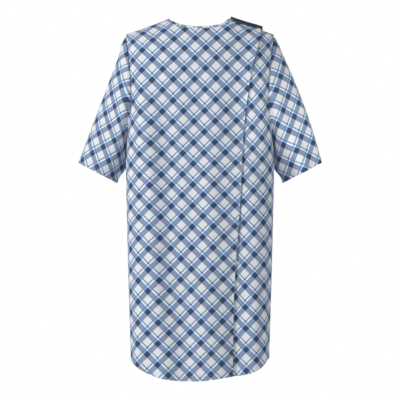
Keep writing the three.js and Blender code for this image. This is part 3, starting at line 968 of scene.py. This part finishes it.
def sleeve_repeats(points, side, yarns, fullness, diamond):
    """Plaid repeats on a sleeve's grid, whose columns run once round from the top line."""
    axis = unit(np.array([CUFF_OUTER[0] - TIP_HALF, 0, CUFF_OUTER[1] - ARM_TOP], float))
    closed = np.concatenate([points, points[:1]], 0)
    along = closed @ axis
    hop = np.diff(closed, axis=0)
    hop -= (hop @ axis)[..., None] * axis
    hops = np.linalg.norm(hop, axis=-1).cumsum(0)
    around = np.concatenate([np.zeros_like(hops[:1]), hops], 0)
    across = np.where(around > around[-1:] / 2, around - around[-1:], around)
    across[-1] = 0
    top = points[0] @ np.array([-axis[2], 0, axis[0]])
    across = fullness * (across - (top - top[0]))
    back = slice(0, SLEEVE_AROUND // 2)
    miss = np.hypot(points[back, :, 0] - abs(diamond[0]), points[back, :, 2] - diamond[1])
    near = np.unravel_index(miss.argmin(), miss.shape)
    return repeats(side * (across - across[near]), along - along[near], yarns)


def build_sleeve(name, side, flannel, yarns, fullness, diamond, bulge):
    """A sleeve and its cuff stitching; side is +1 for the wearer's left."""
    points, turn, s = sleeve_grid(bulge)
    normals = outward_normals(points, points - points.mean(0, keepdims=True), True)
    points = points + normals * sleeve_folds(turn, s, 0.5 * (1 - side))[..., None]
    points[:, 1:] = keep_off_body(points[:, 1:], s[1:])
    uv = sleeve_repeats(points, side, yarns, fullness, diamond)
    from_underarm = np.roll(np.arange(SLEEVE_AROUND), -(SLEEVE_AROUND // 2))
    last = uv[from_underarm[-1:]] * 2 - uv[from_underarm[-2:-1]]
    uv = np.concatenate([uv[from_underarm], last], 0)
    to_cuff = np.broadcast_to((1 - s)[None, :] * SLEEVE_LENGTH, points.shape[:2])
    thickness = CLOTH + HEM_EXTRA * turned_over(to_cuff, CUFF_FOLD)
    points = points[from_underarm] * np.array([side, 1, 1])
    outward = unit(points - points.mean(0, keepdims=True))
    cloth = sheet_mesh(name, points, uv, flannel, thickness, outward, around=True)
    normals = outward_normals(points, outward, True)
    skin = points + normals * thickness[..., None] / 2
    row = contour(skin, normals, to_cuff, CUFF_FOLD - STITCH_IN)
    return cloth, [tuple(np.concatenate([part, part[:1]]) for part in row)]


# ---- studio
VIEW_MIDDLE_Z = -558.4
VIEW_WIDTH = 1234
CAMERA_DISTANCE = 12000
SENSOR = 36
AMBIENT = 0.40
CENTRE = (0, 0, -0.5)
# Each lamp: its name, place, the point it faces, its size in metres and its power in watts.
LIGHTS = [
    ("key_lamp", (3.7, 2.8, 1.3), CENTRE, 1.1, 172),
    ("fill_lamp", (-2.7, 3.0, 1.3), CENTRE, 1.6, 44),
    ("front_lamp", (-1.0, -3.4, 1.2), CENTRE, 2.4, 60),
]
SPOT_PLACE, SPOT_FACES = (1.2, 3.6, 0.7), (-0.46, 0, -0.30)
SPOT_CONE = math.radians(8.5)
SPOT_RADIUS = 0.05
SPOT_POWER = 570
WHITE = (1, 1, 1, 1)
FLOOR_HALF, FLOOR_Z = 3000, -1500


def hang_lamp(light, place, faces, power):
    """Puts a light at a place, turned to the point that it faces."""
    light.energy = power
    lamp = add_object(light.name, light)
    lamp.location = place
    aim = Vector(faces) - Vector(place)
    lamp.rotation_euler = aim.to_track_quat("-Z", "Y").to_euler()


def build_camera():
    """Level camera straight behind the gown, far off, so that nothing looks foreshortened."""
    camera = bpy.data.cameras.new("camera")
    camera.sensor_width = SENSOR
    camera.lens = SENSOR * CAMERA_DISTANCE / VIEW_WIDTH
    camera.clip_end = 100
    obj = add_object("camera", camera)
    obj.location = (0, CAMERA_DISTANCE * MM, VIEW_MIDDLE_Z * MM)
    obj.rotation_euler = (math.pi / 2, 0, math.pi)
    bpy.context.scene.camera = obj


def build_world():
    """White behind the gown, and a dimmer white that lights it from all round."""
    world = bpy.data.worlds.new("studio")
    world.use_nodes = True
    tree = world.node_tree
    ambient = tree.nodes["Background"]
    ambient.inputs[1].default_value = AMBIENT
    backdrop = tree.nodes.new("ShaderNodeBackground")
    path = tree.nodes.new("ShaderNodeLightPath")
    either = tree.nodes.new("ShaderNodeMixShader")
    tree.links.new(path.outputs["Is Camera Ray"], either.inputs[0])
    for number, shade in ((1, ambient), (2, backdrop)):
        shade.inputs[0].default_value = WHITE
        tree.links.new(shade.outputs[0], either.inputs[number])
    tree.links.new(either.outputs[0], tree.nodes["World Output"].inputs[0])
    bpy.context.scene.world = world


def build_lamps():
    """Three broad lamps, and a narrow one on the wearer's right sleeve."""
    for name, place, faces, size, power in LIGHTS:
        light = bpy.data.lights.new(name, "AREA")
        light.size = size
        hang_lamp(light, place, faces, power)
    spot = bpy.data.lights.new("sleeve_spot", "SPOT")
    spot.spot_size = SPOT_CONE
    spot.spot_blend = 1
    spot.shadow_soft_size = SPOT_RADIUS
    hang_lamp(spot, SPOT_PLACE, SPOT_FACES, SPOT_POWER)


def build_floor():
    """Pale floor well below the hem and out of the picture."""
    n = Nodes("floor")
    n.base(n.ramp(n.noise(2, 2), [(0.3, [0.8, 0.8, 0.8, 1]), (0.7, [0.82, 0.82, 0.82, 1])]))
    n.surface(Roughness=0.9)
    corners = [(x * FLOOR_HALF, y * FLOOR_HALF, FLOOR_Z)
               for x, y in ((-1, -1), (1, -1), (1, 1), (-1, 1))]
    floor = new_mesh("floor", corners, [(0, 1, 2, 3)], n.material)


def follow(pieces):
    """Bakes each piece's placement into its mesh."""
    for piece in pieces:
        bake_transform(piece)


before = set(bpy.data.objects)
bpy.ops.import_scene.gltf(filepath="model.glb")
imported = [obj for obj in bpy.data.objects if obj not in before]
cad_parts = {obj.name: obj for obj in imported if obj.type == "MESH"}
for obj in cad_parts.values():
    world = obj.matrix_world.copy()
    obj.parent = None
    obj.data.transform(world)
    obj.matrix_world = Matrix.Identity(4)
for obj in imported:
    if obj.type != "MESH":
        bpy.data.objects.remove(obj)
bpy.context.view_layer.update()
build_camera()
build_world()
build_lamps()
build_floor()
bpy.context.scene.view_settings.view_transform = "Standard"

flannel = flannel_material()
tape = twill_material("navy_tape", [0.012, 0.016, 0.032, 1], [0.03, 0.038, 0.065, 1])
resin = resin_material()
label = label_material()
thread = thread_material("thread", "8796B2", "9DACC6")
navy_thread = thread_material("navy_thread", "20283A", "2C3650")

outer, outer_rows = build_outer_back(flannel)
outer_band, outer_band_rows = build_binding(
    "neck_band_outer", flannel, 1, (90, -90), NECK_DROP_BACK, outer_drape, 0.6, BAND_END_RISE)
outer_stitches = stitch_mesh("outer_back_stitches", outer_rows + outer_band_rows, thread)
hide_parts("outer_back_side", "outer_back_flap")
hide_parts("neck_binding_outer")
follow([outer, outer_band, outer_stitches])

inner, inner_rows = build_inner_back(flannel)
inner_band, inner_band_rows = build_binding(
    "neck_band_inner", flannel, 1, (INNER_EDGE_X, -88), NECK_DROP_BACK + INNER_NECK_SINK + 1,
    back_drape, -0.3)
inner_stitches = stitch_mesh("inner_back_stitches", inner_rows + inner_band_rows, thread)
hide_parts("inner_back_side", "inner_back_flap")
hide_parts("neck_binding_inner")
follow([inner, inner_band, inner_stitches])

front, front_rows = build_front(flannel)
front_band, front_band_rows = build_binding(
    "neck_band_front", flannel, -1, (91, -91), NECK_DROP_FRONT, front_drape, 0.4)
front_stitches = stitch_mesh("front_stitches", front_rows + front_band_rows, thread)
tag = build_label(label)
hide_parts("front_panel")
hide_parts("neck_binding_front")
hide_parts("care_label")
for piece in (front, front_band, front_stitches, tag):
    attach(piece, "garment")

for word, side, yarns, fullness, diamond, bulge in SLEEVES:
    cloth, cuff_rows = build_sleeve(
        f"{word}_sleeve_cloth", side, flannel, yarns, fullness, diamond, bulge)
    cuff = stitch_mesh(f"{word}_cuff_stitches", cuff_rows, thread)
    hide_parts(f"{word}_sleeve")
    follow([cloth, cuff])

stud_tape, stud_rows = build_tape("stud_tape", STUD_FOOT, tape, navy_thread)
socket_tape, socket_rows = build_tape("socket_tape", SOCKET_FOOT, tape, navy_thread)
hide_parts("shoulder_tape_stud")
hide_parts("shoulder_tape_socket")
for piece, body in ((stud_tape, "garment"), (stud_rows, "garment"),
                    (socket_tape, "outer_flap"), (socket_rows, "outer_flap")):
    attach(piece, body)

for kind, body in (("ring", "garment"), ("stud", "garment"),
                   ("socket", "outer_flap"), ("cap", "outer_flap")):
    for number in range(1, len(SNAP_X) + 1):
        moulding = build_snap(kind, number, resin)
        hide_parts(f"snap_{kind}_{number}")
        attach(moulding, body)
